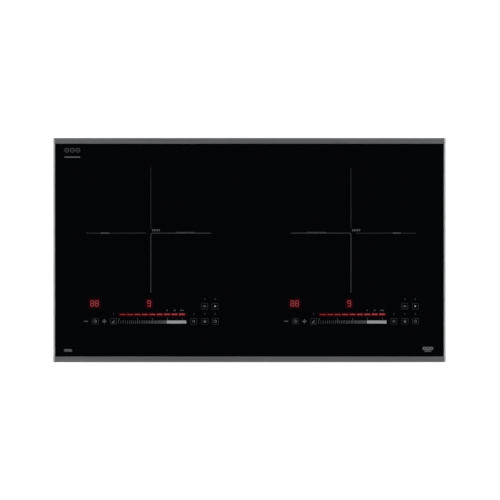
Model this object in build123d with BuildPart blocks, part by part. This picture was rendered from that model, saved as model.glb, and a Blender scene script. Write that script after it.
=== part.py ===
from build123d import *
import os

# Two-zone built-in induction cooktop. Millimetres, +X right, +Y rear, +Z up.
# Z = 0 is the worktop surface, and the origin is the middle of the cooktop on it.

# Driving dimensions
HOB_W = 730.0  # over the side trims
HOB_D = 416.4  # over the front and rear trims
TRIM_FR_W = 10.4  # width of the front and rear trims, seen from above
TRIM_SIDE_W = 4.0
TRIM_END_R = 3.5  # ends of the front and rear trims, turned down towards the sides
SIDE_ROUND = 2.2  # outer edge of the side trims
GLASS_T = 4.0
SEAL_T = 2.0
LIP_T = 1.0
LIP_W = 8.0
JOINT = 0.1  # hairline joint between glass and trims
SHEET = 1.0  # steel sheet of the base pan
PAN_W = 680.0
PAN_D = 368.0
PAN_BOTTOM = -52.0
PAN_R = 6.0
PAN_BEND = 1.5  # outside radius of the bend round the pan's floor
RIB_W = 11.0
RIB_H = 2.0  # height of the ribs pressed up into the pan's floor
ZONE_PITCH = 371.6  # between the centres of the two cooking zones
MID_X = 2.8  # middle of the two zones
ZONE_Y = 31.6
COIL_R_IN = 22.0
TURN_PITCH = 6.2
TURNS = 15
COIL_T = 4.0

# Levels worked out from the driving dimensions
Z_LIP = SEAL_T
Z_GLASS = Z_LIP + LIP_T
Z_TOP = Z_GLASS + GLASS_T
GLASS_W = HOB_W - 2 * TRIM_SIDE_W - 2 * JOINT
GLASS_D = HOB_D - 2 * TRIM_FR_W - 2 * JOINT
FLANGE_Z = 0.6
CARRIER_Z = FLANGE_Z + SHEET
MICA_T = 0.8
COIL_TOP = Z_GLASS - MICA_T
COIL_BOTTOM = COIL_TOP - COIL_T
COIL_R_OUT = COIL_R_IN + TURNS * TURN_PITCH
HOLDER_T = 4.0
HOLDER_Z = COIL_BOTTOM - HOLDER_T
SHIELD_T = 1.2
SHIELD_Z = HOLDER_Z - SHIELD_T
SHIELD_R = 118.0
FLOOR_Z = PAN_BOTTOM + SHEET
TRAY_Z = FLOOR_Z + 0.1
TRAY_T = 2.0
BOARD_T = 1.6
BOARD_Z = -44.6
BOARD_TOP = BOARD_Z + BOARD_T
SINK_Y = 92.0
SINK_D = 60.0
SINK_H = 26.0

# Touch controls, one set in front of each zone
CONTROL_Y = -120.0
CONTROL_W = 264.0
CONTROL_D = 60.0
CONTROL_Z = -7.6
CONTROL_TOP = CONTROL_Z + BOARD_T
KEY_ROW_Y = -132.2
KEY_ROW_X = [-120.4, -103.1, -86.4, -69.2, 79.6, 100.3, 119.7]
UPPER_KEY_Y = -104.1
UPPER_KEY_X = [99.8, 119.4]
SLIDER_FIRST_X = -52.3
SLIDER_PITCH = 13.8
SLIDER_PADS = 9
DIGIT_Y = -99.1
BAR_Y = -119.2

# Blowers
FAN_PITCH = 88.0
FAN_Y = 74.0
FAN_R = 38.0
FAN_WALL = 1.6
FAN_TOP = -25.0
ROTOR_R = 32.0
BLADES = 26
SHAFT_R = 1.5
RUNNING = 0.05  # radial clearance of everything that turns or slides

# Mains entry
BOX_W = 76.0
BOX_TOP = -6.6
BOX_BOTTOM = -48.0
COVER_PIN_Y = 180.5
COVER_PIN_Z = -14.0
COVER_PIN_R = 1.0
GLAND_X = MID_X + 62.0
GLAND_Z = -30.0
GLAND_SIDE = 25.6
CABLE_R = 5.5

# Hold-down clamps
CLAMP_X = 262.0
CLAMP_Y = 174.0
POCKET_W = 60.0
POCKET_D = 26.0
POCKET_TOP = -34.0
ARM_L = 46.0
ARM_R = 7.0
ARM_T = 2.0
SCREW_R = 2.45
SCREW_HEAD_R = 4.5
SCREW_HEAD_Z = -49.5
SCREW_HEAD_T = 3.5

SIDES = {"left": -1, "right": 1}
CORNERS = {"front_left": (-1, -1), "front_right": (1, -1), "rear_left": (-1, 1), "rear_right": (1, 1)}
BASE = (Align.CENTER, Align.CENTER, Align.MIN)

os.makedirs("parts", exist_ok=True)


def save(builder, label):
    builder.part.label = label
    export_step(builder.part, f"parts/{label}.step")


def block(x_range, y_range, z_range, mode=Mode.ADD):
    """A box between two limits on each axis, in the part being built."""
    middle = ((x_range[0] + x_range[1]) / 2, (y_range[0] + y_range[1]) / 2, z_range[0])
    with Locations(middle):
        Box(x_range[1] - x_range[0], y_range[1] - y_range[0], z_range[1] - z_range[0], align=BASE, mode=mode)


def posts(points, radius, z_low, z_high, mode=Mode.ADD):
    """Upright cylinders at the points, in the part being built."""
    with Locations(*[(x, y, z_low) for x, y in points]):
        Cylinder(radius, z_high - z_low, align=BASE, mode=mode)


def zone_x(side):
    return MID_X + side * ZONE_PITCH / 2


def out_from(side, distance):
    """X at a distance outwards from a zone's centre, towards its own side of the cooktop."""
    return zone_x(side) + side * distance


# Glass, trims and seal

def make_glass_top():
    with BuildPart() as glass:
        with BuildSketch(Plane.XY.offset(Z_GLASS)):
            RectangleRounded(GLASS_W, GLASS_D, 1.0)
        extrude(amount=GLASS_T)
        chamfer(glass.edges().group_by(Axis.Z)[-1], length=0.35)
    save(glass, "glass_top")


def make_front_and_rear_trims():
    outer = HOB_D / 2
    inner = outer - TRIM_FR_W
    lip_half = HOB_W / 2 - TRIM_SIDE_W - JOINT
    for name, side in (("front_trim", -1), ("rear_trim", 1)):
        with BuildPart() as trim:
            block((-HOB_W / 2, HOB_W / 2), sorted((side * inner, side * outer)), (Z_LIP, Z_TOP))
            top = trim.faces().sort_by(Axis.Z)[-1]
            fillet(top.edges().filter_by(Axis.Y), radius=TRIM_END_R)
            top = trim.faces().sort_by(Axis.Z)[-1]
            chamfer(top.edges().filter_by(Axis.X).sort_by(Axis.Y)[-1 if side > 0 else 0], length=0.4)
            block((-lip_half, lip_half), sorted((side * inner, side * (inner - LIP_W))), (Z_LIP, Z_GLASS))
        save(trim, name)


def make_side_trims():
    outer = HOB_W / 2
    inner = outer - TRIM_SIDE_W
    half = HOB_D / 2 - TRIM_FR_W - JOINT
    lip_half = half - LIP_W
    for name, side in SIDES.items():
        with BuildPart() as trim:
            block(sorted((side * inner, side * outer)), (-half, half), (Z_LIP, Z_TOP))
            top = trim.faces().sort_by(Axis.Z)[-1]
            fillet(top.edges().filter_by(Axis.Y).sort_by(Axis.X)[-1 if side > 0 else 0], radius=SIDE_ROUND)
            block(sorted((side * inner, side * (inner - LIP_W))), (-lip_half, lip_half), (Z_LIP, Z_GLASS))
        save(trim, f"{name}_trim")


def make_worktop_seal():
    inset = 1.5
    width = 8.0
    with BuildPart() as seal:
        with BuildSketch():
            RectangleRounded(HOB_W - 2 * inset, HOB_D - 2 * inset, 5.0)
            inner = inset + width
            RectangleRounded(HOB_W - 2 * inner, HOB_D - 2 * inner, 2.0, mode=Mode.SUBTRACT)
        extrude(amount=SEAL_T)
    save(seal, "worktop_seal")


# Base pan and what closes it

def pan_screw_planes():
    """Places of the pan's side screws, each as a plane whose normal points outwards."""
    planes = []
    for x in (-300.0, -100.0, 100.0, 300.0):
        for side in (-1, 1):
            planes.append(Plane(origin=(x, side * PAN_D / 2, -4.0), x_dir=(1, 0, 0), z_dir=(0, side, 0)))
    for y in (-110.0, 110.0):
        for side in (-1, 1):
            planes.append(Plane(origin=(side * PAN_W / 2, y, -4.0), x_dir=(0, 1, 0), z_dir=(side, 0, 0)))
    return planes


def make_glass_carrier():
    half_w = PAN_W / 2 - SHEET - 0.1
    half_d = PAN_D / 2 - SHEET - 0.1
    tab = 4.0
    with BuildPart() as carrier:
        with BuildSketch(Plane.XY.offset(CARRIER_Z)):
            RectangleRounded(700.0, 378.8, 8.0)
            RectangleRounded(666.0, 354.0, 4.0, mode=Mode.SUBTRACT)
        extrude(amount=Z_GLASS - CARRIER_Z)
        tab_y = half_d - tab / 2
        with Locations(*[(x, s * tab_y, -8.0) for x in (-300, -100, 100, 300) for s in (-1, 1)]):
            Box(16.0, tab, CARRIER_Z + 8.0, align=BASE)
        with Locations(*[(s * (half_w - tab / 2), y, -8.0) for y in (-110, 110) for s in (-1, 1)]):
            Box(tab, 16.0, CARRIER_Z + 8.0, align=BASE)
        for plane in pan_screw_planes():
            with Locations(plane.location):
                Cylinder(1.55, 14.0, mode=Mode.SUBTRACT)
    save(carrier, "glass_carrier")


def make_pan_screws():
    with BuildPart() as screws:
        for plane in pan_screw_planes():
            with Locations(plane.location):
                Cylinder(1.5, 5.6, align=(Align.CENTER, Align.CENTER, Align.MAX))
                Cylinder(3.2, 1.8, align=BASE)
            with Locations(plane.offset(1.0).location):
                Box(0.8, 4.4, 2.0, align=BASE, mode=Mode.SUBTRACT)
    save(screws, "pan_screws")


def rib_places():
    """Middle, length and turn of each rib pressed up into the pan's floor."""
    across = [(0.0, -120.0, 560.0, 0), (0.0, -163.0, 380.0, 0)]
    return across + [(side * 330.0, 40.0, 170.0, 90) for side in SIDES.values()]


def make_base_pan():
    rear = PAN_D / 2
    with BuildPart() as pan:
        with BuildSketch(Plane.XY.offset(PAN_BOTTOM)):
            RectangleRounded(PAN_W, PAN_D, PAN_R)
        extrude(amount=FLANGE_Z - PAN_BOTTOM)
        fillet(pan.edges().group_by(Axis.Z)[0], radius=PAN_BEND)
        with BuildSketch(Plane.XY.offset(FLANGE_Z)):
            RectangleRounded(700.0, 378.8, 8.0)
        extrude(amount=SHEET)
        with BuildSketch(Plane.XY.offset(FLOOR_Z)):
            RectangleRounded(PAN_W - 2 * SHEET, PAN_D - 2 * SHEET, PAN_R - SHEET)
        extrude(amount=60.0, mode=Mode.SUBTRACT)
        for x, y, length, turn in rib_places():
            with BuildSketch(Plane.XY.offset(FLOOR_Z)):
                with Locations((x, y)):
                    SlotOverall(length, RIB_W, rotation=turn)
            extrude(amount=RIB_H)
            with BuildSketch(Plane.XY.offset(PAN_BOTTOM)):
                with Locations((x, y)):
                    SlotOverall(length - 2 * SHEET, RIB_W - 2 * SHEET, rotation=turn)
            extrude(amount=RIB_H, mode=Mode.SUBTRACT)
        # Pockets in the bottom edge that take the clamp arms when they are turned in
        for side_x, side_y in CORNERS.values():
            x_range = sorted((side_x * (CLAMP_X - POCKET_W + 10.0), side_x * (CLAMP_X + 10.0)))
            wide = (x_range[0] - SHEET, x_range[1] + SHEET)
            deep = sorted((side_y * rear, side_y * (rear - POCKET_D - SHEET)))
            block(wide, deep, (PAN_BOTTOM, POCKET_TOP + SHEET))
            cut = sorted((side_y * (rear + 1.0), side_y * (rear - POCKET_D)))
            block(x_range, cut, (PAN_BOTTOM - 1.0, POCKET_TOP), mode=Mode.SUBTRACT)
            screw = (side_x * CLAMP_X, side_y * CLAMP_Y)
            posts([screw], SCREW_R + 0.25, POCKET_TOP - 1, POCKET_TOP + 2, Mode.SUBTRACT)
        # Round grilles under the two blowers
        for side in SIDES.values():
            for row in range(-4, 5):
                reach = 2 * (27.0**2 - (row * 6.2) ** 2) ** 0.5
                with Locations((MID_X + side * FAN_PITCH / 2, FAN_Y + row * 6.2, PAN_BOTTOM - 1)):
                    Box(reach, 3.2, 3.0, align=BASE, mode=Mode.SUBTRACT)
        # Outlet slots in the side walls and the front wall
        with Locations((0, SINK_Y, -30.0)):
            with GridLocations(PAN_W, 6.0, 2, 11):
                Box(4.0, 3.0, 24.0, mode=Mode.SUBTRACT)
        with Locations((0, -PAN_D / 2, -26.0)):
            with GridLocations(6.0, 1.0, 30, 1):
                Box(3.0, 4.0, 20.0, mode=Mode.SUBTRACT)
        # Mains entry: opening for the hinged cover and for the cable gland
        block((MID_X - 36.0, MID_X + 36.0), (rear - 3, rear + 1), (-46.0, -8.6), mode=Mode.SUBTRACT)
        half = GLAND_SIDE / 2 + 0.1
        gland_x = (GLAND_X - half, GLAND_X + half)
        block(gland_x, (rear - 3, rear + 1), (GLAND_Z - half, GLAND_Z + half), Mode.SUBTRACT)
        for plane in pan_screw_planes():
            with Locations(plane.location):
                Cylinder(1.7, 4.0, mode=Mode.SUBTRACT)
    save(pan, "base_pan")


# Induction zones

def make_mica_sheets():
    with BuildPart() as sheets:
        for side in SIDES.values():
            with BuildSketch(Plane.XY.offset(COIL_TOP)):
                with Locations((zone_x(side), ZONE_Y)):
                    Circle(COIL_R_OUT + 1.5)
                    Circle(6.0, mode=Mode.SUBTRACT)
            extrude(amount=MICA_T)
    save(sheets, "mica_sheets")


def make_coils():
    for name, side in SIDES.items():
        centre = (zone_x(side), ZONE_Y, 0)
        radii = [COIL_R_IN + TURN_PITCH * (turn + 0.5) for turn in range(TURNS)]
        with BuildPart() as coil:
            with BuildSketch(Plane(origin=centre, x_dir=(1, 0, 0), z_dir=(0, -1, 0))):
                with Locations(*[(radius, COIL_TOP - COIL_T / 2) for radius in radii]):
                    RectangleRounded(TURN_PITCH + 0.5, COIL_T, 1.6)
            revolve(axis=Axis(centre, (0, 0, 1)))
        save(coil, f"{name}_coil")


def make_coil_holders():
    for name, side in SIDES.items():
        cx = zone_x(side)
        with BuildPart() as holder:
            with BuildSketch(Plane.XY.offset(HOLDER_Z)):
                with Locations((cx, ZONE_Y)):
                    Circle(COIL_R_OUT + 2.0)
                    Circle(5.0, mode=Mode.SUBTRACT)
                    with PolarLocations(67.0, 8):
                        Rectangle(62.4, 12.4, mode=Mode.SUBTRACT)
                    with PolarLocations(90.0, 8, start_angle=22.5):
                        SlotCenterToCenter(14.0, 13.0, rotation=90, mode=Mode.SUBTRACT)
                with Locations((out_from(side, 14.0), ZONE_Y), (out_from(side, 96.0), ZONE_Y - 61.6)):
                    Circle(3.4, mode=Mode.SUBTRACT)
            extrude(amount=HOLDER_T)
        save(holder, f"{name}_coil_holder")


def make_ferrite_bars():
    with BuildPart() as bars:
        for side in SIDES.values():
            with BuildSketch(Plane.XY.offset(HOLDER_Z)):
                with Locations((zone_x(side), ZONE_Y)):
                    with PolarLocations(67.0, 8):
                        Rectangle(62.0, 12.0)
            extrude(amount=HOLDER_T)
    save(bars, "ferrite_bars")


def make_shield_plates():
    for name, side in SIDES.items():
        with BuildPart() as plate:
            with BuildSketch(Plane.XY.offset(SHIELD_Z)):
                with Locations((zone_x(side), ZONE_Y)):
                    Circle(SHIELD_R)
                    Circle(22.0, mode=Mode.SUBTRACT)
                    with PolarLocations(110.0, 12, start_angle=15):
                        Circle(2.0, mode=Mode.SUBTRACT)
                with Locations((out_from(side, 96.0), ZONE_Y - 61.6)):
                    Circle(4.0, mode=Mode.SUBTRACT)
            extrude(amount=SHIELD_T)
        save(plate, f"{name}_shield_plate")


def spring_points(side):
    """Where the three leaf springs of a zone stand."""
    return [(out_from(side, 0), 140.0), (out_from(side, -74.0), -18.0), (out_from(side, 74.0), -18.0)]


def make_coil_springs():
    sag = 12.0
    thickness = 0.7
    top = SHIELD_Z - thickness / 2 - 0.3
    with BuildPart() as springs:
        for side in SIDES.values():
            for x, y in spring_points(side):
                with BuildSketch(Plane.XZ.offset(-y)):
                    with BuildLine():
                        ThreePointArc((x - 26.0, top), (x, top - sag), (x + 26.0, top))
                    trace(line_width=thickness)
                extrude(amount=6.0, both=True)
    save(springs, "coil_springs")


def make_temperature_sensors():
    with BuildPart() as sensors:
        for side in SIDES.values():
            posts([(zone_x(side), ZONE_Y)], 8.0, COIL_BOTTOM, COIL_BOTTOM + 1.2)
            posts([(zone_x(side), ZONE_Y)], 4.0, HOLDER_Z - 4.0, Z_GLASS - 0.1)
    save(sensors, "temperature_sensors")


# Power electronics

def make_board_trays():
    spring_post_top = SHIELD_Z - 0.3 - 12.0 - 0.7 - 0.1
    with BuildPart() as trays:
        for side in SIDES.values():
            x_range = sorted((out_from(side, -94.0), out_from(side, 135.0)))
            block(x_range, (-62.0, 150.0), (TRAY_Z, TRAY_Z + 7.0))
            inside = (x_range[0] + 2, x_range[1] - 2)
            block(inside, (-60.0, 148.0), (TRAY_Z + TRAY_T, 0.0), mode=Mode.SUBTRACT)
            posts(board_corners(side), 4.0, TRAY_Z + TRAY_T, BOARD_Z)
            posts(spring_points(side), 6.0, TRAY_Z + TRAY_T, spring_post_top)
        block((MID_X - 80.0, MID_X + 80.0), (-58.0, 30.0), (TRAY_Z, TRAY_Z + 7.0))
        block((MID_X - 78.0, MID_X + 78.0), (-56.0, 28.0), (TRAY_Z + TRAY_T, 0.0), mode=Mode.SUBTRACT)
        posts(filter_corners(), 4.0, TRAY_Z + TRAY_T, BOARD_Z)
    save(trays, "board_trays")


def board_corners(side):
    return [(out_from(side, dx), y) for dx in (-80.0, 124.0) for y in (-50.0, 126.0)]


def filter_corners():
    return [(MID_X + dx, y) for dx in (-70.0, 70.0) for y in (-50.0, 22.0)]


def make_power_boards():
    for name, side in SIDES.items():
        with BuildPart() as board:
            x_range = sorted((out_from(side, -86.0), out_from(side, 130.0)))
            block(x_range, (-56.0, 132.0), (BOARD_Z, BOARD_TOP))
            posts(spring_points(side)[1:], 7.0, BOARD_Z - 1, BOARD_TOP + 1, mode=Mode.SUBTRACT)
        save(board, f"{name}_power_board")


def make_heat_sinks():
    front = SINK_Y - SINK_D / 2
    fins = 10
    for name, side in SIDES.items():
        x_range = sorted((out_from(side, -84.0), out_from(side, 112.0)))
        with BuildPart() as sink:
            block(x_range, (front, front + SINK_D), (BOARD_TOP, BOARD_TOP + 5.0))
            block(x_range, (front, front + 4.0), (BOARD_TOP, BOARD_TOP + SINK_H))
            for fin in range(1, fins):
                y = front + fin * (SINK_D - 1.6) / (fins - 1)
                block(x_range, (y, y + 1.6), (BOARD_TOP, BOARD_TOP + SINK_H))
        save(sink, f"{name}_heat_sink")


def make_power_switches():
    back = SINK_Y - SINK_D / 2
    with BuildPart() as switches:
        for side in SIDES.values():
            for dx in (-60.0, -25.0, 10.0, 45.0):
                x = out_from(side, dx)
                block((x - 8.0, x + 8.0), (back - 5.0, back), (BOARD_TOP + 4.0, BOARD_TOP + 24.0))
                with Locations(*[(x + leg, back - 2.5, BOARD_TOP) for leg in (-5.4, 0.0, 5.4)]):
                    Box(1.2, 0.8, 4.0, align=BASE)
            x = out_from(side, 84.0)
            block((x - 15.0, x + 15.0), (back - 6.0, back), (BOARD_TOP + 3.0, BOARD_TOP + 23.0))
            with Locations(*[(x + leg, back - 3.0, BOARD_TOP) for leg in (-11.0, -4.0, 4.0, 11.0)]):
                Box(1.2, 0.9, 3.0, align=BASE)
    save(switches, "power_switches")


def make_capacitors():
    offsets = (-50.0, -10.0, 30.0)
    places = [(out_from(side, dx), 28.0, BOARD_TOP) for side in SIDES.values() for dx in offsets]
    with BuildPart() as capacitors:
        with Locations(*places):
            Box(32.0, 18.0, SINK_H, align=BASE)
        with Locations((MID_X + 36.0, 6.0, BOARD_TOP), (MID_X + 36.0, -28.0, BOARD_TOP)):
            Box(26.0, 14.0, 22.0, align=BASE)
        fillet(capacitors.edges().filter_by(Axis.Z), radius=1.0)
    save(capacitors, "capacitors")


def make_chokes():
    with BuildPart() as chokes:
        for x, y in [(out_from(-1, 0), -28.0), (out_from(1, 0), -28.0), (MID_X - 32.0, -12.0)]:
            with BuildSketch(Plane(origin=(x, y, 0), x_dir=(1, 0, 0), z_dir=(0, -1, 0))):
                with Locations((14.0, BOARD_TOP + 9.0)):
                    RectangleRounded(9.0, 14.0, 2.5)
            revolve(axis=Axis((x, y, 0), (0, 0, 1)))
            with Locations((x, y, BOARD_TOP)):
                with PolarLocations(14.0, 18):
                    Box(12.0, 2.0, 17.0, align=BASE)
    save(chokes, "chokes")


def make_filter_board():
    with BuildPart() as board:
        block((MID_X - 75.0, MID_X + 75.0), (-54.0, 26.0), (BOARD_Z, BOARD_TOP))
    save(board, "filter_board")


# Touch controls

def make_control_boards():
    for name, side in SIDES.items():
        cx = zone_x(side)
        half_d = CONTROL_D / 2
        with BuildPart() as tray:
            block((cx - 134.0, cx + 134.0), (CONTROL_Y - 32.0, CONTROL_Y + 32.0), (-12.0, CONTROL_Z))
            inside = (cx - 130.0, cx + 130.0)
            block(inside, (CONTROL_Y - 28.0, CONTROL_Y + 28.0), (-10.4, 0.0), Mode.SUBTRACT)
            posts([(cx + x, y) for x in (-118, 118) for y in (-142, -98)], 4.0, FLOOR_Z + 0.1, -10.4)
        save(tray, f"{name}_control_tray")
        with BuildPart() as board:
            x_range = (cx - CONTROL_W / 2, cx + CONTROL_W / 2)
            block(x_range, (CONTROL_Y - half_d, CONTROL_Y + half_d), (CONTROL_Z, CONTROL_TOP))
            chamfer(board.edges().filter_by(Axis.Z), length=2.0)
        save(board, f"{name}_control_board")


def make_display_modules():
    with BuildPart() as modules:
        for side in SIDES.values():
            cx = zone_x(side)
            top = Z_GLASS - 0.2
            block((cx - 117.0, cx - 91.8), (DIGIT_Y - 9.0, DIGIT_Y + 8.0), (CONTROL_TOP, top))
            block((cx - 9.2, cx + 3.4), (DIGIT_Y - 9.0, DIGIT_Y + 8.0), (CONTROL_TOP, top))
            block((cx - 62.0, cx + 69.0), (BAR_Y - 3.0, BAR_Y + 3.0), (CONTROL_TOP, top))
    save(modules, "display_modules")


def touch_points(side):
    cx = zone_x(side)
    points = [(cx + dx, KEY_ROW_Y) for dx in KEY_ROW_X]
    points += [(cx + dx, UPPER_KEY_Y) for dx in UPPER_KEY_X]
    points += [(cx + SLIDER_FIRST_X + SLIDER_PITCH * pad, KEY_ROW_Y) for pad in range(SLIDER_PADS)]
    return points


def make_touch_contacts():
    with BuildPart() as contacts:
        for side in SIDES.values():
            posts(touch_points(side), 3.2, CONTROL_TOP, Z_GLASS - 1.0)
            posts(touch_points(side), 5.0, Z_GLASS - 1.0, Z_GLASS)
    save(contacts, "touch_contacts")


# Blowers

def fan_x(side):
    return MID_X + side * FAN_PITCH / 2


def make_fan_housings():
    for name, side in SIDES.items():
        fx = fan_x(side)
        inner_r = FAN_R - FAN_WALL
        mouth = sorted((fx, fx + side * 44.0))
        inside = sorted((fx, fx + side * 46.0))
        with BuildPart() as housing:
            posts([(fx, FAN_Y)], FAN_R, FLOOR_Z, FAN_TOP)
            block(mouth, (FAN_Y - 2.0, FAN_Y + FAN_R), (FLOOR_Z, FAN_TOP))
            posts([(fx, FAN_Y)], inner_r, FLOOR_Z + FAN_WALL, FAN_TOP + 1, mode=Mode.SUBTRACT)
            depth = (FLOOR_Z + FAN_WALL, FAN_TOP + 1)
            block(inside, (FAN_Y - 0.4, FAN_Y + inner_r), depth, mode=Mode.SUBTRACT)
            posts([(fx, FAN_Y)], 25.0, FLOOR_Z - 1, FLOOR_Z + 3, mode=Mode.SUBTRACT)
        save(housing, f"{name}_fan_housing")


def make_fan_covers():
    with BuildPart() as covers:
        for side in SIDES.values():
            fx = fan_x(side)
            posts([(fx, FAN_Y)], FAN_R, FAN_TOP, FAN_TOP + 2.0)
            block(sorted((fx, fx + side * 44.0)), (FAN_Y - 2.0, FAN_Y + FAN_R), (FAN_TOP, FAN_TOP + 2.0))
            posts([(fx, FAN_Y)], 5.5, -36.0, FAN_TOP)
            posts([(fx, FAN_Y)], 3.0, -37.0, FAN_TOP - 0.5, mode=Mode.SUBTRACT)
    save(covers, "fan_covers")


def make_fan_bushes():
    centres = [(fan_x(side), FAN_Y) for side in SIDES.values()]
    with BuildPart() as bushes:
        posts(centres, 3.0, -36.0, FAN_TOP - 0.5)
        posts(centres, SHAFT_R + RUNNING, -37.0, FAN_TOP, mode=Mode.SUBTRACT)
    save(bushes, "fan_bushes")


def make_fan_stators():
    with BuildPart() as stators:
        for side in SIDES.values():
            with BuildSketch(Plane.XY.offset(-35.5)):
                with Locations((fan_x(side), FAN_Y)):
                    Circle(14.0)
                    Circle(5.5, mode=Mode.SUBTRACT)
                    with PolarLocations(12.0, 6):
                        Rectangle(6.0, 2.4, mode=Mode.SUBTRACT)
            extrude(amount=8.0)
    save(stators, "fan_stators")


def make_fan_rotors():
    for name, side in SIDES.items():
        fx = fan_x(side)
        with BuildPart() as impeller:
            posts([(fx, FAN_Y)], 17.5, -40.0, -27.5)
            posts([(fx, FAN_Y)], 16.0, -38.5, -26.0, mode=Mode.SUBTRACT)
            with BuildSketch(Plane.XY.offset(-29.0)):
                with Locations((fx, FAN_Y)):
                    Circle(ROTOR_R)
                    Circle(17.0, mode=Mode.SUBTRACT)
            extrude(amount=1.5)
            with Locations((fx, FAN_Y, -47.5)):
                with PolarLocations(27.6, BLADES):
                    Box(7.6, 1.2, 19.0, rotation=(0, 0, 32), align=BASE)
            with BuildSketch(Plane.XY.offset(-48.0)):
                with Locations((fx, FAN_Y)):
                    Circle(ROTOR_R)
                    Circle(ROTOR_R - 2.0, mode=Mode.SUBTRACT)
            extrude(amount=1.6)
            posts([(fx, FAN_Y)], SHAFT_R, -41.0, -30.0, mode=Mode.SUBTRACT)
        save(impeller, f"{name}_impeller")
        with BuildPart() as shaft:
            posts([(fx, FAN_Y)], SHAFT_R, -40.0, -26.2)
        save(shaft, f"{name}_fan_shaft")


# Mains entry

def make_terminal_box():
    half = BOX_W / 2
    with BuildPart() as box:
        block((MID_X - half, MID_X + half), (150.0, PAN_D / 2 - SHEET - 0.1), (BOX_BOTTOM, BOX_TOP))
        inside = (MID_X - half + 2.0, MID_X + half - 2.0)
        block(inside, (152.0, PAN_D / 2), (BOX_BOTTOM + 2.0, BOX_TOP - 2.0), mode=Mode.SUBTRACT)
        block((MID_X - 7.0, MID_X + 7.0), (149.0, 153.0), (-34.0, -26.0), mode=Mode.SUBTRACT)
        with Locations((MID_X, COVER_PIN_Y, COVER_PIN_Z)):
            Cylinder(COVER_PIN_R + RUNNING, BOX_W + 2, rotation=(0, 90, 0), mode=Mode.SUBTRACT)
    save(box, "terminal_box")


def make_terminal_block():
    with BuildPart() as terminals:
        block((MID_X - 31.0, MID_X + 31.0), (154.0, 170.0), (BOX_BOTTOM + 2.0, -26.0))
        with Locations((MID_X, 162.0, -26.0)):
            with GridLocations(12.0, 1.0, 5, 1):
                Cylinder(3.2, 12.0, mode=Mode.SUBTRACT)
        with Locations((MID_X, 170.0, -38.0)):
            with GridLocations(12.0, 1.0, 5, 1):
                Cylinder(2.2, 8.0, rotation=(90, 0, 0), mode=Mode.SUBTRACT)
    save(terminals, "terminal_block")


def make_terminal_cover():
    half = 35.4
    with BuildPart() as cover:
        block((MID_X - half, MID_X + half), (182.2, 184.4), (-45.5, -11.0))
        block((MID_X - 5.0, MID_X + 5.0), (184.4, 185.6), (-45.5, -43.5))
        for side in (-1, 1):
            arm = sorted((MID_X + side * (half - 3.0), MID_X + side * half))
            block(arm, (COVER_PIN_Y, 182.2), (COVER_PIN_Z - 2.2, COVER_PIN_Z + 2.2))
            with Locations((MID_X + side * (half - 1.5), COVER_PIN_Y, COVER_PIN_Z)):
                Cylinder(2.2, 3.0, rotation=(0, 90, 0))
            with Locations((MID_X + side * (half + 0.6), COVER_PIN_Y, COVER_PIN_Z)):
                Cylinder(COVER_PIN_R, 3.4, rotation=(0, 90, 0))
    save(cover, "terminal_cover")


def make_cable_gland():
    half = GLAND_SIDE / 2
    rear = PAN_D / 2
    with BuildPart() as gland:
        block((GLAND_X - half, GLAND_X + half), (rear - 13.0, rear), (GLAND_Z - half, GLAND_Z + half))
        block((GLAND_X - 15.5, GLAND_X + 15.5), (rear, rear + 3.0), (GLAND_Z - 15.5, GLAND_Z + 15.5))
        with Locations((GLAND_X, rear - 5.0, GLAND_Z)):
            Cylinder(CABLE_R, 30.0, rotation=(90, 0, 0), mode=Mode.SUBTRACT)
    save(gland, "cable_gland")


# Hold-down clamps

def make_clamps():
    arm_z = SCREW_HEAD_Z + SCREW_HEAD_T + RUNNING
    for name, (side_x, side_y) in CORNERS.items():
        x = side_x * CLAMP_X
        y = side_y * CLAMP_Y
        tip_x = x - side_x * ARM_L
        with BuildPart() as arm:
            posts([(x, y)], ARM_R, arm_z, arm_z + ARM_T)
            block(sorted((x, tip_x)), (y - ARM_R, y + ARM_R), (arm_z, arm_z + ARM_T))
            block(sorted((tip_x, tip_x + side_x * ARM_T)), (y - ARM_R, y + ARM_R), (arm_z, arm_z + 5.0))
            posts([(x, y)], SCREW_R + RUNNING, arm_z - 1, arm_z + 3, mode=Mode.SUBTRACT)
        save(arm, f"{name}_clamp_arm")
        with BuildPart() as screw:
            posts([(x, y)], SCREW_HEAD_R, SCREW_HEAD_Z, SCREW_HEAD_Z + SCREW_HEAD_T)
            posts([(x, y)], SCREW_R, SCREW_HEAD_Z + SCREW_HEAD_T, -24.0)
            with Locations((x, y, SCREW_HEAD_Z)):
                Box(5.0, 1.2, 3.0, mode=Mode.SUBTRACT)
                Box(1.2, 5.0, 3.0, mode=Mode.SUBTRACT)
        save(screw, f"{name}_clamp_screw")


def make_clamp_nuts():
    points = [(sx * CLAMP_X, sy * CLAMP_Y) for sx, sy in CORNERS.values()]
    with BuildPart() as nuts:
        with BuildSketch(Plane.XY.offset(POCKET_TOP + SHEET)):
            with Locations(*points):
                RegularPolygon(4.6, 6)
                Circle(SCREW_R + RUNNING, mode=Mode.SUBTRACT)
        extrude(amount=4.0)
    save(nuts, "clamp_nuts")


# Wiring that the cooktop holds all the way: straight runs joined by arcs

def lay_wire(points, radii, wire_r):
    with BuildPart() as wire:
        with BuildLine() as route:
            FilletPolyline(points, radius=radii)
        with BuildSketch(Plane(origin=route.line @ 0, z_dir=route.line % 0)):
            Circle(wire_r)
        sweep()
    return wire.part


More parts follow.
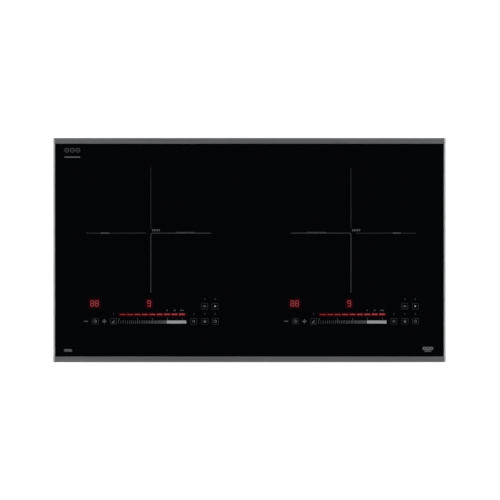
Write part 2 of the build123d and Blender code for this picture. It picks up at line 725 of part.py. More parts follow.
def make_coil_leads():
    wire_r = 2.0
    wires = []
    for side in SIDES.values():
        inner = [
            (out_from(side, 14.0), ZONE_Y, COIL_BOTTOM),
            (out_from(side, 14.0), ZONE_Y, -13.0),
            (out_from(side, 108.0), 8.0, -13.0),
            (out_from(side, 108.0), -50.0, -26.0),
            (out_from(side, 108.0), -50.0, BOARD_TOP),
        ]
        outer = [
            (out_from(side, 96.0), -30.0, COIL_BOTTOM),
            (out_from(side, 96.0), -30.0, -22.0),
            (out_from(side, 96.0), -50.0, -30.0),
            (out_from(side, 96.0), -50.0, BOARD_TOP),
        ]
        wires.append(lay_wire(inner, [5.0, 20.0, 10.0], wire_r))
        wires.append(lay_wire(outer, [7.0, 7.0], wire_r))
    with BuildPart() as leads:
        for wire in wires:
            add(wire)
    save(leads, "coil_leads")


def make_mains_wires():
    wires = []
    for dx in (-3.6, 0.0, 3.6):
        route = [(MID_X + dx, 154.0, -30.0), (MID_X + dx, 20.0, -30.0), (MID_X + dx, 20.0, BOARD_TOP)]
        wires.append(lay_wire(route, [6.0], 1.4))
    with BuildPart() as leads:
        for wire in wires:
            add(wire)
    save(leads, "mains_wires")


def make_control_cables():
    with BuildPart() as cables:
        for side in SIDES.values():
            with BuildSketch(Plane.YZ.offset(out_from(side, 80.0))):
                with BuildLine():
                    FilletPolyline((-90.0, -6.9), (-78.0, -6.9), (-70.0, -40.0), (-53.0, -42.4), radius=5.0)
                trace(line_width=1.0)
            extrude(amount=8.0, both=True)
    save(cables, "control_cables")


make_glass_top()
make_front_and_rear_trims()
make_side_trims()
make_worktop_seal()
make_glass_carrier()
make_pan_screws()
make_base_pan()
make_mica_sheets()
make_coils()
make_coil_holders()
make_ferrite_bars()
make_shield_plates()
make_coil_springs()
make_temperature_sensors()
make_board_trays()
make_power_boards()
make_heat_sinks()
make_power_switches()
make_capacitors()
make_chokes()
make_filter_board()
make_control_boards()
make_display_modules()
make_touch_contacts()
make_fan_housings()
make_fan_covers()
make_fan_bushes()
make_fan_stators()
make_fan_rotors()
make_terminal_box()
make_terminal_block()
make_terminal_cover()
make_cable_gland()
make_clamps()
make_clamp_nuts()
make_coil_leads()
make_mains_wires()
make_control_cables()
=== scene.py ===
"""Looks for a two-zone built-in induction cooktop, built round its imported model."""
import math

import bmesh
import bpy
from mathutils import Matrix, Vector


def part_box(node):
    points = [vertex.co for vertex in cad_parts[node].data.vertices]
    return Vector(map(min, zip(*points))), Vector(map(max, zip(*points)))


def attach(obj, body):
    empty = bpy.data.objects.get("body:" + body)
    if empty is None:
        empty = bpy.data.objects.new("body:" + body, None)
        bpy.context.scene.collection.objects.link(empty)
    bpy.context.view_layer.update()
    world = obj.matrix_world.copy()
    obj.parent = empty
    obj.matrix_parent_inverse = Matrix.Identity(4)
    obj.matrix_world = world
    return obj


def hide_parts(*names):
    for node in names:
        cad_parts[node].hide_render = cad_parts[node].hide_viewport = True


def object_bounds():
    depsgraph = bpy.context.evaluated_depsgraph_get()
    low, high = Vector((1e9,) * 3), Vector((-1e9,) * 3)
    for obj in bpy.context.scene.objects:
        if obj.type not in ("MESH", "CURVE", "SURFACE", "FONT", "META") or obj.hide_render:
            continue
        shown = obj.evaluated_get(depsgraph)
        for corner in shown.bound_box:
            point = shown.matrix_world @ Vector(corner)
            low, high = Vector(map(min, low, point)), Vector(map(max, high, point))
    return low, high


bl_info = {
    "name": "Induction cooktop",
    "version": (1, 0, 0),
    "blender": (4, 5, 0),
    "location": "View3D > Sidebar > Cooktop",
    "description": "Builds the printed glass, lit displays, finishes and studio of an induction cooktop",
    "category": "Object",
}

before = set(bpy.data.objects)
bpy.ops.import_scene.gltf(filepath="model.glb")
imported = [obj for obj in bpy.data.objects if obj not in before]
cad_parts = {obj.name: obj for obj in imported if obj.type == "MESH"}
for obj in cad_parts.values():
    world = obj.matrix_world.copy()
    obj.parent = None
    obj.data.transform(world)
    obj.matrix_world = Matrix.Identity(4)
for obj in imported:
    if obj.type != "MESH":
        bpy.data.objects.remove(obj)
CAD_BOX = [list(corner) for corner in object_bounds()]

MM = 0.001
BODY = "cooktop"

# Heights on the glass, from the imported glass_top part: everything printed stays under the trims' top face
GLASS_LOW, GLASS_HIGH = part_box("glass_top")
TOP = GLASS_HIGH[2]
GLASS_FACE = TOP - 0.10 * MM
GLOW_FACE = TOP - 0.07 * MM
LIT_FACE = TOP - 0.04 * MM
LINE_FACE = TOP - 0.05 * MM
INK_FACE = TOP - 0.02 * MM

# Digit strokes, lettered a to g clockwise from the top, with g in the middle
DIGIT_STROKES = {
    "0": "abcdef",
    "1": "bc",
    "2": "abdeg",
    "3": "abcdg",
    "4": "bcfg",
    "5": "acdfg",
    "6": "acdefg",
    "7": "abc",
    "8": "abcdefg",
    "9": "abcdfg",
}


def zone_centre(side):
    """Middle of a cooking zone, on the glass, from the coil under it."""
    low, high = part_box(f"{side}_coil")
    return Vector(((low[0] + high[0]) / 2, (low[1] + high[1]) / 2, TOP))


ZONES = {"left": zone_centre("left"), "right": zone_centre("right")}
INWARD = {"left": 1, "right": -1}


# Settings

def linear(hex_colour):
    """An sRGB hex colour as linear RGBA."""
    channels = [int(hex_colour[i:i + 2], 16) / 255 for i in (1, 3, 5)]
    curve = [c / 12.92 if c <= 0.04045 else ((c + 0.055) / 1.055) ** 2.4 for c in channels]
    return (*curve, 1.0)


def colour_setting(name, description, hex_colour):
    """A colour that a user can change, kept linear and given as an sRGB hex value."""
    return bpy.props.FloatVectorProperty(
        name=name, description=description, subtype="COLOR", size=4, min=0.0, max=1.0,
        default=linear(hex_colour))


class PrintSettings(bpy.types.PropertyGroup):
    line_width: bpy.props.FloatProperty(
        name="Zone line", description="Width of the bright cross lines",
        default=0.70 * MM, min=0.1 * MM, unit="LENGTH", precision=5)
    fine_width: bpy.props.FloatProperty(
        name="Fine line", description="Width of the dim cross lines",
        default=0.30 * MM, min=0.1 * MM, unit="LENGTH", precision=5)
    line_reach: bpy.props.FloatProperty(
        name="Line reach", description="Length of a cross line from the zone's middle",
        default=112 * MM, min=20 * MM, unit="LENGTH")
    key_size: bpy.props.FloatProperty(
        name="Key frame", description="Width of the printed frame round a touch key",
        default=11.6 * MM, min=4 * MM, unit="LENGTH")
    slider_height: bpy.props.FloatProperty(
        name="Slider height", description="Height of the printed slider",
        default=5.6 * MM, min=2 * MM, unit="LENGTH")
    line_ink: colour_setting("Zone ink", "Ink of the cross lines and their scale marks", "#606264")
    frame_ink: colour_setting("Frame ink", "Ink of the frames round the touch keys", "#434547")
    symbol_ink: colour_setting("Symbol ink", "Ink of the symbols on the touch keys", "#6E7072")
    scale_ink: colour_setting("Scale ink", "Ink of the slider's strokes", "#68696B")
    bar_ink: colour_setting("Bar ink", "Ink of the slider's solid bar", "#B4B5B6")
    status_ink: colour_setting("Status ink", "Ink of the dot on the status key", "#E4E6E6")
    corner_ink: colour_setting("Corner ink", "Ink of the plain marks in the corners", "#7C7E80")
    faint_ink: colour_setting("Faint corner ink", "Ink of the dimmer corner marks", "#5E6062")


class DisplaySettings(bpy.types.PropertyGroup):
    digit_height: bpy.props.FloatProperty(
        name="Digit height", description="Height of a seven-segment digit",
        default=11.3 * MM, min=4 * MM, unit="LENGTH")
    digit_width: bpy.props.FloatProperty(
        name="Digit width", description="Width of a seven-segment digit",
        default=6.7 * MM, min=3 * MM, unit="LENGTH")
    left_digits: bpy.props.StringProperty(
        name="Timer digits", description="Digits of the timer display", default="88")
    power_digit: bpy.props.StringProperty(
        name="Power digit", description="Digit of the power display", default="9")
    bar_count: bpy.props.IntProperty(
        name="Bars", description="Lit bars above the slider", default=9, min=1, max=12)
    brightness: bpy.props.FloatProperty(
        name="Brightness", description="Strength of the lit segments", default=1.0, min=0.0)
    segment_colour: colour_setting("Segments", "Light of a segment at its brightest", "#944049")
    segment_shade: colour_setting("Segment shade", "Light of a segment at its dimmest", "#7C2E36")
    glow_colour: colour_setting("Glow", "Light that spreads through the glass round a display", "#8C0018")


class GlassSettings(bpy.types.PropertyGroup):
    edge: bpy.props.FloatProperty(
        name="Ground edge", description="Width of the polished edge of the glass",
        default=0.3 * MM, min=0.1 * MM, unit="LENGTH", precision=5)
    tint: colour_setting("Tint", "Colour of the glass ceramic", "#07080B")


class TrimSettings(bpy.types.PropertyGroup):
    bar_colour: colour_setting("Front and rear", "Colour of the brushed front and rear trims", "#ACADAF")
    # Side trims: coloured lighter than the front and rear trims partly as painted light, standing in for
    # their rounded edges catching the side softboxes; the rest is their satin finish
    side_lit_colour: colour_setting("Sides", "Colour of the satin side trims", "#D6D7D8")


class StageSettings(bpy.types.PropertyGroup):
    view_width: bpy.props.FloatProperty(
        name="View width", description="Width that the camera frames at the glass",
        default=928.3 * MM, min=0.1, unit="LENGTH")
    lens: bpy.props.FloatProperty(
        name="Lens", description="Focal length in millimetres", default=150.0, min=10.0)
    softbox_power: bpy.props.FloatProperty(
        name="Softbox power", description="Power of each side softbox",
        default=34.0, min=0.0, unit="POWER")


# Helpers for meshes

def finish_mesh(bm, name, material, smooth=False):
    """Turns a bmesh into a piece that rides on the cooktop."""
    mesh = bpy.data.meshes.new(name)
    for face in bm.faces:
        face.smooth = smooth
    bm.to_mesh(mesh)
    bm.free()
    mesh.materials.append(material)
    piece = bpy.data.objects.new(name, mesh)
    bpy.context.scene.collection.objects.link(piece)
    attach(piece, BODY)
    return piece


def flat_pad(bm, x, y, width, height, corner=0.0, turn=0.0, segments=3):
    """A flat rectangle round (x, y) with rounded corners."""
    made = bmesh.ops.create_grid(bm, x_segments=1, y_segments=1, size=0.5)
    verts = made["verts"]
    bmesh.ops.scale(bm, vec=(width, height, 1), verts=verts)
    if corner:
        made = bmesh.ops.bevel(
            bm, geom=verts, affect="VERTICES", offset=corner, segments=segments, profile=0.5, material=-1)
        verts = list(set(made["verts"]) | {vert for vert in verts if vert.is_valid})
    if turn:
        bmesh.ops.rotate(bm, verts=verts, matrix=Matrix.Rotation(turn, 3, "Z"))
    bmesh.ops.translate(bm, vec=(x, y, 0), verts=verts)
    return verts


def flat_ring(bm, x, y, radius, width, start=0.0, sweep=2 * math.pi, steps=24):
    """A flat ring, or an arc of one, swept from a short line across its width."""
    ends = [bm.verts.new((x + radius - width / 2, y, 0)), bm.verts.new((x + radius + width / 2, y, 0))]
    edge = bm.edges.new(ends)
    middle = (x, y, 0)
    bmesh.ops.rotate(bm, verts=ends, cent=middle, matrix=Matrix.Rotation(start, 3, "Z"))
    full = sweep > 2 * math.pi - 1e-6
    bmesh.ops.spin(
        bm, geom=ends + [edge], cent=middle, axis=(0, 0, 1), angle=sweep, steps=steps, use_merge=full)


def flat_line(bm, start, end, width):
    """A flat straight stroke between two points."""
    start, end = Vector(start), Vector(end)
    run = end - start
    middle = (start + end) / 2
    flat_pad(bm, middle.x, middle.y, run.length, width, turn=math.atan2(run.y, run.x))


def flat_frame(bm, x, y, width, height, corner, stroke):
    """A thin outline of a rounded rectangle."""
    half_w, half_h = width / 2 - corner, height / 2 - corner
    for level in (y + height / 2, y - height / 2):
        flat_line(bm, (x - half_w, level), (x + half_w, level), stroke)
    for side in (x - width / 2, x + width / 2):
        flat_line(bm, (side, y - half_h), (side, y + half_h), stroke)
    for sign_x, sign_y, start in ((1, 1, 0), (-1, 1, 90), (-1, -1, 180), (1, -1, 270)):
        corner_x, corner_y = x + sign_x * half_w, y + sign_y * half_h
        flat_ring(bm, corner_x, corner_y, corner, stroke, math.radians(start), math.pi / 2, 5)


def tick_row(bm, x, y, pitch, count, width, height, corner):
    """A row of short upright strokes that starts at (x, y)."""
    for tick in range(count):
        flat_pad(bm, x + pitch * tick, y, width, height, corner)


def lay_on_glass(bm, low, high):
    """Gives flat shapes their thickness and sets them between two heights."""
    bmesh.ops.remove_doubles(bm, verts=bm.verts, dist=0.002 * MM)
    for face in bm.faces:
        face.normal_update()
        if face.normal.z < 0:
            face.normal_flip()
    top = bmesh.ops.extrude_face_region(bm, geom=list(bm.faces), use_keep_orig=True)
    risen = [item for item in top["geom"] if isinstance(item, bmesh.types.BMVert)]
    bmesh.ops.translate(bm, vec=(0, 0, high - low), verts=risen)
    bmesh.ops.translate(bm, vec=(0, 0, low), verts=bm.verts)
    bmesh.ops.recalc_face_normals(bm, faces=bm.faces)


# Helpers for materials

def add_node(tree, kind, settings=None, values=None, links=None, stops=None, feeds=None):
    """Adds a node with its settings, socket values, links in, two colour stops and links out."""
    node = tree.nodes.new(kind)
    for name, value in (settings or {}).items():
        setattr(node, name, value)
    for socket, value in (values or {}).items():
        node.inputs[socket].default_value = value
    for socket, source in (links or {}).items():
        tree.links.new(source, node.inputs[socket])
    if stops:
        for element, (position, colour) in zip(node.color_ramp.elements, stops):
            element.position = position
            element.color = colour
    for output, socket in (feeds or {}).items():
        tree.links.new(node.outputs[output], socket)
    return node


def shaded(colour, factor):
    """A linear colour made darker or lighter."""
    return tuple(min(1.0, factor * channel) for channel in colour[:3]) + (1.0,)


def start_material(name, colour, roughness, metallic=0.0, **sockets):
    """A material with its main shader, and the object coordinates that its patterns follow."""
    material = bpy.data.materials.new(name)
    material.use_nodes = True
    tree = material.node_tree
    shader = tree.nodes["Principled BSDF"]
    shader.inputs["Base Color"].default_value = colour
    shader.inputs["Roughness"].default_value = roughness
    shader.inputs["Metallic"].default_value = metallic
    for socket, value in sockets.items():
        shader.inputs[socket.replace("_", " ")].default_value = value
    place = add_node(tree, "ShaderNodeTexCoord")
    return material, tree, shader, place.outputs["Object"]


# Finishes

def black_ceramic_glass_polished(tint):
    """Rolled glass ceramic, tinted black: deep and wet looking, with a very slight roll wave."""
    material, tree, shader, place = start_material("glass_ceramic_black_polished", tint, 0.06, IOR=1.54)
    # The roll wave is about 110 mm long, and wiping smears about 25 mm
    wave = add_node(tree, "ShaderNodeTexNoise", None, {"Scale": 9.0, "Detail": 1.0}, {"Vector": place})
    smear = add_node(tree, "ShaderNodeTexNoise", None, {"Scale": 42.0, "Detail": 4.0}, {"Vector": place})
    add_node(
        tree, "ShaderNodeMapRange",
        values={"From Min": 0.35, "From Max": 0.7, "To Min": 0.045, "To Max": 0.085},
        links={"Value": smear.outputs["Fac"]},
        feeds={"Result": shader.inputs["Roughness"]})
    add_node(
        tree, "ShaderNodeBump", values={"Strength": 0.02, "Distance": 0.4 * MM},
        links={"Height": wave.outputs["Fac"]},
        feeds={"Normal": shader.inputs["Normal"]})
    return material


def display_glow_glass(tint, light, brightness):
    """The same black glass where light from a display spreads under it, painted on as a soft red glow."""
    material, tree, shader, place = start_material("glass_ceramic_lit_from_below", tint, 0.06, IOR=1.54)
    shader.inputs["Emission Color"].default_value = light
    glow = add_node(tree, "ShaderNodeAttribute", {"attribute_name": "glow"})
    add_node(
        tree, "ShaderNodeMath", {"operation": "MULTIPLY"}, {1: 0.20 * brightness},
        links={0: glow.outputs["Fac"]},
        feeds={"Value": shader.inputs["Emission Strength"]})
    return material


def red_segment_diffuser(dim, bright, brightness):
    """Cast red diffuser over a light-emitting diode: hot pink core, redder where the light is thin."""
    material, tree, shader, place = start_material(
        "display_diffuser_red_cast", linear("#3A0A10"), 0.35, IOR=1.49)
    grain = add_node(tree, "ShaderNodeTexNoise", None, {"Scale": 900.0, "Detail": 2.0}, {"Vector": place})
    add_node(
        tree, "ShaderNodeValToRGB", links={"Fac": grain.outputs["Fac"]},
        stops=((0.3, dim), (0.65, bright)),
        feeds={"Color": shader.inputs["Emission Color"]})
    shader.inputs["Emission Strength"].default_value = brightness
    return material


def screen_printed_enamel(name, colour):
    """Fired ceramic ink put on through a screen: matt, with the faint dots of its mesh."""
    material, tree, shader, place = start_material(name, colour, 0.55, IOR=1.5)
    # The mesh is about 0.3 mm, drawn at 0.5 mm so that it shows
    dots = add_node(tree, "ShaderNodeTexVoronoi", values={"Scale": 2000.0}, links={"Vector": place})
    add_node(
        tree, "ShaderNodeValToRGB", links={"Fac": dots.outputs["Distance"]},
        stops=((0.2, colour), (0.9, shaded(colour, 0.8))),
        feeds={"Color": shader.inputs["Base Color"]})
    return material


def brushed_metal(name, colour, roughness, direction):
    """Long-grain brushed steel or aluminium: fine streaks along the bar that spread the light across it."""
    material, tree, shader, place = start_material(name, colour, roughness, 1.0)
    # Grit lines about 0.4 mm apart and many centimetres long
    along = {"x": (6.0, 2200.0, 2200.0), "y": (2200.0, 6.0, 2200.0)}[direction]
    stretch = add_node(tree, "ShaderNodeMapping", values={"Scale": along}, links={"Vector": place})
    streak = add_node(
        tree, "ShaderNodeTexNoise", values={"Scale": 1.0, "Detail": 3.0, "Roughness": 0.6},
        links={"Vector": stretch.outputs["Vector"]})
    broad = tuple(scale / 7 for scale in along)
    wide = add_node(tree, "ShaderNodeMapping", values={"Scale": broad}, links={"Vector": place})
    cloud = add_node(
        tree, "ShaderNodeTexNoise", values={"Scale": 1.0, "Detail": 2.0},
        links={"Vector": wide.outputs["Vector"]})
    both = add_node(
        tree, "ShaderNodeMath", {"operation": "ADD"},
        links={0: streak.outputs["Fac"], 1: cloud.outputs["Fac"]})
    add_node(
        tree, "ShaderNodeValToRGB", links={"Fac": streak.outputs["Fac"]},
        stops=((0.3, shaded(colour, 0.82)), (0.7, shaded(colour, 1.12))),
        feeds={"Color": shader.inputs["Base Color"]})
    add_node(
        tree, "ShaderNodeMapRange",
        values={"From Min": 0.6, "From Max": 1.4, "To Min": roughness - 0.06, "To Max": roughness + 0.08},
        links={"Value": both.outputs["Value"]},
        feeds={"Result": shader.inputs["Roughness"]})
    add_node(
        tree, "ShaderNodeBump", values={"Strength": 0.25, "Distance": 0.04 * MM},
        links={"Height": both.outputs["Value"]},
        feeds={"Normal": shader.inputs["Normal"]})
    return material


def galvanised_sheet():
    """Hot-dip galvanised steel: flat grey zinc crystals, a few millimetres across and unevenly bright."""
    material, tree, shader, place = start_material("steel_sheet_galvanised", linear("#A9ACAE"), 0.42, 1.0)
    # Crystals about 5 mm across
    spangle = add_node(
        tree, "ShaderNodeTexVoronoi", values={"Scale": 210.0, "Randomness": 1.0}, links={"Vector": place})
    add_node(
        tree, "ShaderNodeValToRGB", links={"Fac": spangle.outputs["Color"]},
        stops=((0.15, linear("#9DA1A4")), (0.85, linear("#B2B6B8"))),
        feeds={"Color": shader.inputs["Base Color"]})
    add_node(
        tree, "ShaderNodeMapRange", values={"To Min": 0.38, "To Max": 0.48},
        links={"Value": spangle.outputs["Color"]},
        feeds={"Result": shader.inputs["Roughness"]})
    grain = add_node(tree, "ShaderNodeTexNoise", None, {"Scale": 700.0, "Detail": 3.0}, {"Vector": place})
    add_node(
        tree, "ShaderNodeBump", values={"Strength": 0.12, "Distance": 0.1 * MM},
        links={"Height": grain.outputs["Fac"]},
        feeds={"Normal": shader.inputs["Normal"]})
    return material


def moulded(name, hex_colour, roughness, grain_mm=0.7, depth_mm=0.03, shift=0.8, **sockets):
    """Moulded plastic, rubber, mineral or paper: an even colour with the fine grain of its mould."""
    colour = linear(hex_colour)
    material, tree, shader, place = start_material(name, colour, roughness, **sockets)
    grain_scale = 0.5 / (grain_mm * MM)
    grain = add_node(
        tree, "ShaderNodeTexNoise", values={"Scale": grain_scale, "Detail": 3.0}, links={"Vector": place})
    flow = add_node(tree, "ShaderNodeTexNoise", None, {"Scale": 14.0, "Detail": 3.0}, {"Vector": place})
    add_node(
        tree, "ShaderNodeValToRGB", links={"Fac": flow.outputs["Fac"]},
        stops=((0.3, shaded(colour, shift)), (0.65, colour)),
        feeds={"Color": shader.inputs["Base Color"]})
    add_node(
        tree, "ShaderNodeMapRange",
        values={"To Min": roughness - 0.06, "To Max": min(1.0, roughness + 0.08)},
        links={"Value": grain.outputs["Fac"]},
        feeds={"Result": shader.inputs["Roughness"]})
    add_node(
        tree, "ShaderNodeBump", values={"Strength": 0.5, "Distance": depth_mm * MM},
        links={"Height": grain.outputs["Fac"]},
        feeds={"Normal": shader.inputs["Normal"]})
    return material


def worked_metal(name, hex_colour, roughness, scale, depth_mm):
    """Rolled, plated, sintered or blued metal: an even sheen broken by small pits and handling marks."""
    colour = linear(hex_colour)
    material, tree, shader, place = start_material(name, colour, roughness, 1.0)
    pits = add_node(tree, "ShaderNodeTexNoise", None, {"Scale": scale, "Detail": 5.0}, {"Vector": place})
    add_node(
        tree, "ShaderNodeValToRGB", links={"Fac": pits.outputs["Fac"]},
        stops=((0.3, shaded(colour, 0.75)), (0.6, colour)),
        feeds={"Color": shader.inputs["Base Color"]})
    add_node(
        tree, "ShaderNodeMapRange", values={"To Min": roughness - 0.1, "To Max": roughness + 0.12},
        links={"Value": pits.outputs["Fac"]},
        feeds={"Result": shader.inputs["Roughness"]})
    add_node(
        tree, "ShaderNodeBump", values={"Strength": 0.2, "Distance": depth_mm * MM},
        links={"Height": pits.outputs["Fac"]},
        feeds={"Normal": shader.inputs["Normal"]})
    return material


def enamelled_litz(name, centre):
    """Stranded copper under clear enamel: strands cross every turn as a fine slanted twist."""
    material, tree, shader, place = start_material(
        name, linear("#8E4A22"), 0.34, 1.0, Coat_Weight=0.6, Coat_Roughness=0.2)
    about = add_node(
        tree, "ShaderNodeMapping", {"vector_type": "POINT"},
        {"Location": (-centre[0], -centre[1], 0.0)}, {"Vector": place})
    # Strands are 0.3 mm, drawn at about 2 mm so that they show
    twist = add_node(
        tree, "ShaderNodeTexWave", {"wave_type": "RINGS", "rings_direction": "Z"},
        {"Scale": 160.0, "Distortion": 5.0, "Detail": 2.0, "Detail Scale": 3.0},
        {"Vector": about.outputs["Vector"]})
    add_node(
        tree, "ShaderNodeValToRGB", links={"Fac": twist.outputs["Fac"]},
        stops=((0.2, linear("#5C2810")), (0.8, linear("#B4662F"))),
        feeds={"Color": shader.inputs["Base Color"]})
    add_node(
        tree, "ShaderNodeBump", values={"Strength": 0.6, "Distance": 0.3 * MM},
        links={"Height": twist.outputs["Fac"]},
        feeds={"Normal": shader.inputs["Normal"]})
    return material


def solder_masked_board():
    """Glass-epoxy board under green solder mask: copper tracks show through as a lighter green relief."""
    material, tree, shader, place = start_material(
        "circuit_board_solder_masked", linear("#0F4A26"), 0.32, Coat_Weight=0.4, Coat_Roughness=0.15)
    # Tracks about 1 mm wide, in rows 3.7 mm apart
    tracks = add_node(
        tree, "ShaderNodeTexBrick", {"offset": 0.37, "squash": 0.6, "squash_frequency": 3},
        {"Color1": linear("#0F4A26"), "Color2": linear("#0C3F20"), "Mortar": linear("#2E7A44"),
         "Scale": 60.0, "Mortar Size": 0.03, "Mortar Smooth": 0.1, "Brick Width": 0.9, "Row Height": 0.22},
        {"Vector": place},
        feeds={"Color": shader.inputs["Base Color"]})
    add_node(
        tree, "ShaderNodeBump", values={"Strength": 0.5, "Distance": 0.08 * MM},
        links={"Height": tracks.outputs["Fac"]},
        feeds={"Normal": shader.inputs["Normal"]})
    return material


def banded(name, hex_colour, dark_hex, roughness, metallic, band_mm, axis):
    """Stock with fine parallel bands, such as stacked laminations or the cores of a flat cable."""
    colour = linear(hex_colour)
    material, tree, shader, place = start_material(name, colour, roughness, metallic)
    # In a wave of scale 1, each light or dark band is pi / 20 metres wide
    bands_scale = math.pi / 20 / (band_mm * MM)
    bands = add_node(
        tree, "ShaderNodeTexWave", {"bands_direction": axis},
        {"Scale": bands_scale, "Distortion": 0.3}, {"Vector": place})
    add_node(
        tree, "ShaderNodeValToRGB", links={"Fac": bands.outputs["Fac"]},
        stops=((0.15, linear(dark_hex)), (0.45, colour)),
        feeds={"Color": shader.inputs["Base Color"]})
    add_node(
        tree, "ShaderNodeBump", values={"Strength": 0.6, "Distance": 0.1 * MM},
        links={"Height": bands.outputs["Fac"]},
        feeds={"Normal": shader.inputs["Normal"]})
    return material


# Printed and lit pieces

# Cross lines of a zone
ZONE_BEND = 4.6 * MM
ZONE_GAP = 8.6 * MM
FRONT_LINE_SHORTER = 1.6 * MM
DIM_LINE_LONGER = 9 * MM
OUTER_TICKS_X = 78.3 * MM
INNER_TICKS_X = 47.4 * MM
TICK_CORNER = 0.3 * MM

# Touch panel: X from the middle of its zone, and Y from the middle of the cooktop
DIGITS_Y = -99.1 * MM
BARS_Y = -119.7 * MM
KEYS_Y = -132.2 * MM
UPPER_KEYS_Y = -104.1 * MM
SLIDER_Y = -133.5 * MM
TIMER_DIGITS_X = (-108.8 * MM, -100.2 * MM)
POWER_DIGIT_X = -3.2 * MM
FIRST_BAR_X = -52.2 * MM
BAR_PITCH = 13.74 * MM
BAR_LENGTH = 10.2 * MM
SLIDER_START = -60.0 * MM
SLIDER_SOLID = 29.4 * MM
SLIDER_END = 65.8 * MM
SLIDER_STROKES = 29
DOTS_Y = -118.6 * MM
UPPER_DOTS_Y = -91.2 * MM
LEVEL_MARKS_Y = -111.9 * MM
GLOW_SPREAD = 6.0 * MM
BAR_GLOW_SPREAD = 3.6 * MM

# In millimetres
KEY_X = {
    "minus": -120.4,
    "timer": -103.1,
    "plus": -86.4,
    "boost": -69.2,
    "pause": 79.6,
    "lock": 100.3,
    "power": 119.7,
}
UPPER_KEY_X = {"bridge": 99.8, "status": 119.3}
DOT_X = (-69.2, 79.6, 100.3, 119.5)
UPPER_DOT_X = (100.3, 119.5)
TALL_STROKE_X = (-59.3, -24.8, 2.9, 30.7, 58.6)


class COOKTOP_OT_glass(bpy.types.Operator):
    """Build the black glass plate with its polished edge"""
    bl_idname = "cooktop.glass"
    bl_label = "Glass plate"

    def execute(self, context):
        settings = context.scene.cooktop_glass
        bm = bmesh.new()
        bmesh.ops.create_cube(bm, size=1.0)
        size = Vector(GLASS_HIGH) - Vector(GLASS_LOW)
        size.z = GLASS_FACE - GLASS_LOW[2]
        middle = (Vector(GLASS_HIGH) + Vector(GLASS_LOW)) / 2
        middle.z = (GLASS_FACE + GLASS_LOW[2]) / 2
        bmesh.ops.scale(bm, vec=size, verts=bm.verts)
        corners = [e for e in bm.edges if abs(e.verts[0].co.z - e.verts[1].co.z) > 1e-6]
        bmesh.ops.bevel(
            bm, geom=corners, affect="EDGES", offset=1.2 * MM, segments=5, profile=0.5, material=-1)
        rims = [e for e in bm.edges if e.is_manifold and e.calc_face_angle(0.0) > 1.0]
        bmesh.ops.bevel(
            bm, geom=rims, affect="EDGES", offset=settings.edge, segments=3, profile=0.5, material=-1)
        bmesh.ops.translate(bm, vec=middle, verts=bm.verts)
        bmesh.ops.recalc_face_normals(bm, faces=bm.faces)
        piece = finish_mesh(bm, "glass_plate", black_ceramic_glass_polished(settings.tint))
        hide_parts("glass_top")
        return {"FINISHED"}


class COOKTOP_OT_zone_marks(bpy.types.Operator):
    """Print the cross lines and scale marks of both cooking zones"""
    bl_idname = "cooktop.zone_marks"
    bl_label = "Zone marks"

    def execute(self, context):
        settings = context.scene.cooktop_print
        ink = screen_printed_enamel("enamel_screen_printed_grey", settings.line_ink)
        for side, centre in ZONES.items():
            bm = bmesh.new()
            inward = INWARD[side]
            bend = ZONE_BEND
            gap = ZONE_GAP
            reach = settings.line_reach
            x, y = centre.x, centre.y
            # The bright pair: inward and to the front, joined by a rounded corner
            line = settings.line_width
            flat_line(bm, (x + inward * bend, y), (x + inward * reach, y), line)
            flat_line(bm, (x, y - bend), (x, y - reach + FRONT_LINE_SHORTER), line)
            start = math.pi / 2 if inward > 0 else 0.0
            flat_ring(bm, x + inward * bend, y - bend, bend, line, start, math.pi / 2, 8)
            # The dim pair: outward and to the rear
            fine = settings.fine_width
            far = reach + DIM_LINE_LONGER
            flat_line(bm, (x - inward * gap, y), (x - inward * far, y), 1.3 * fine)
            flat_line(bm, (x, y + gap), (x, y + far), fine)
            lay_on_glass(bm, GLASS_FACE, LINE_FACE)
            finish_mesh(bm, f"{side}_zone_lines", ink)
            # Scale marks on the two level lines, and a row of short bars beside the middle
            bm = bmesh.new()
            outer_x, inner_x = x - inward * OUTER_TICKS_X, x + inward * INNER_TICKS_X
            tick_row(bm, outer_x, y, -inward * 2.2 * MM, 7, 1.4 * MM, 2.3 * MM, TICK_CORNER)
            tick_row(bm, inner_x, y + 1.1 * MM, inward * 2.35 * MM, 15, 1.0 * MM, 2.2 * MM, TICK_CORNER)
            tick_row(bm, x + 3.4 * MM, y + 5.4 * MM, 3.1 * MM, 5, 1.9 * MM, 3.6 * MM, 0.5 * MM)
            lay_on_glass(bm, GLASS_FACE, INK_FACE)
            finish_mesh(bm, f"{side}_zone_marks", ink)
        return {"FINISHED"}


def draw_digit(bm, digit, x, y, width, height):
    """Adds the lit strokes of one seven-segment digit round (x, y)."""
    stroke = 1.2 * MM
    gap = 0.25 * MM
    half_w, half_h = width / 2 - stroke / 2, height / 2 - stroke / 2
    level = {"a": half_h, "g": 0.0, "d": -half_h}
    upright = {"f": (-half_w, 0.5), "b": (half_w, 0.5), "e": (-half_w, -0.5), "c": (half_w, -0.5)}
    for name in DIGIT_STROKES[digit]:
        if name in level:
            flat_pad(bm, x, y + level[name], 2 * half_w - gap, stroke, 0.45 * MM, segments=1)
        else:
            side, part = upright[name]
            flat_pad(bm, x + side, y + part * half_h, stroke, half_h - gap, 0.45 * MM, segments=1)


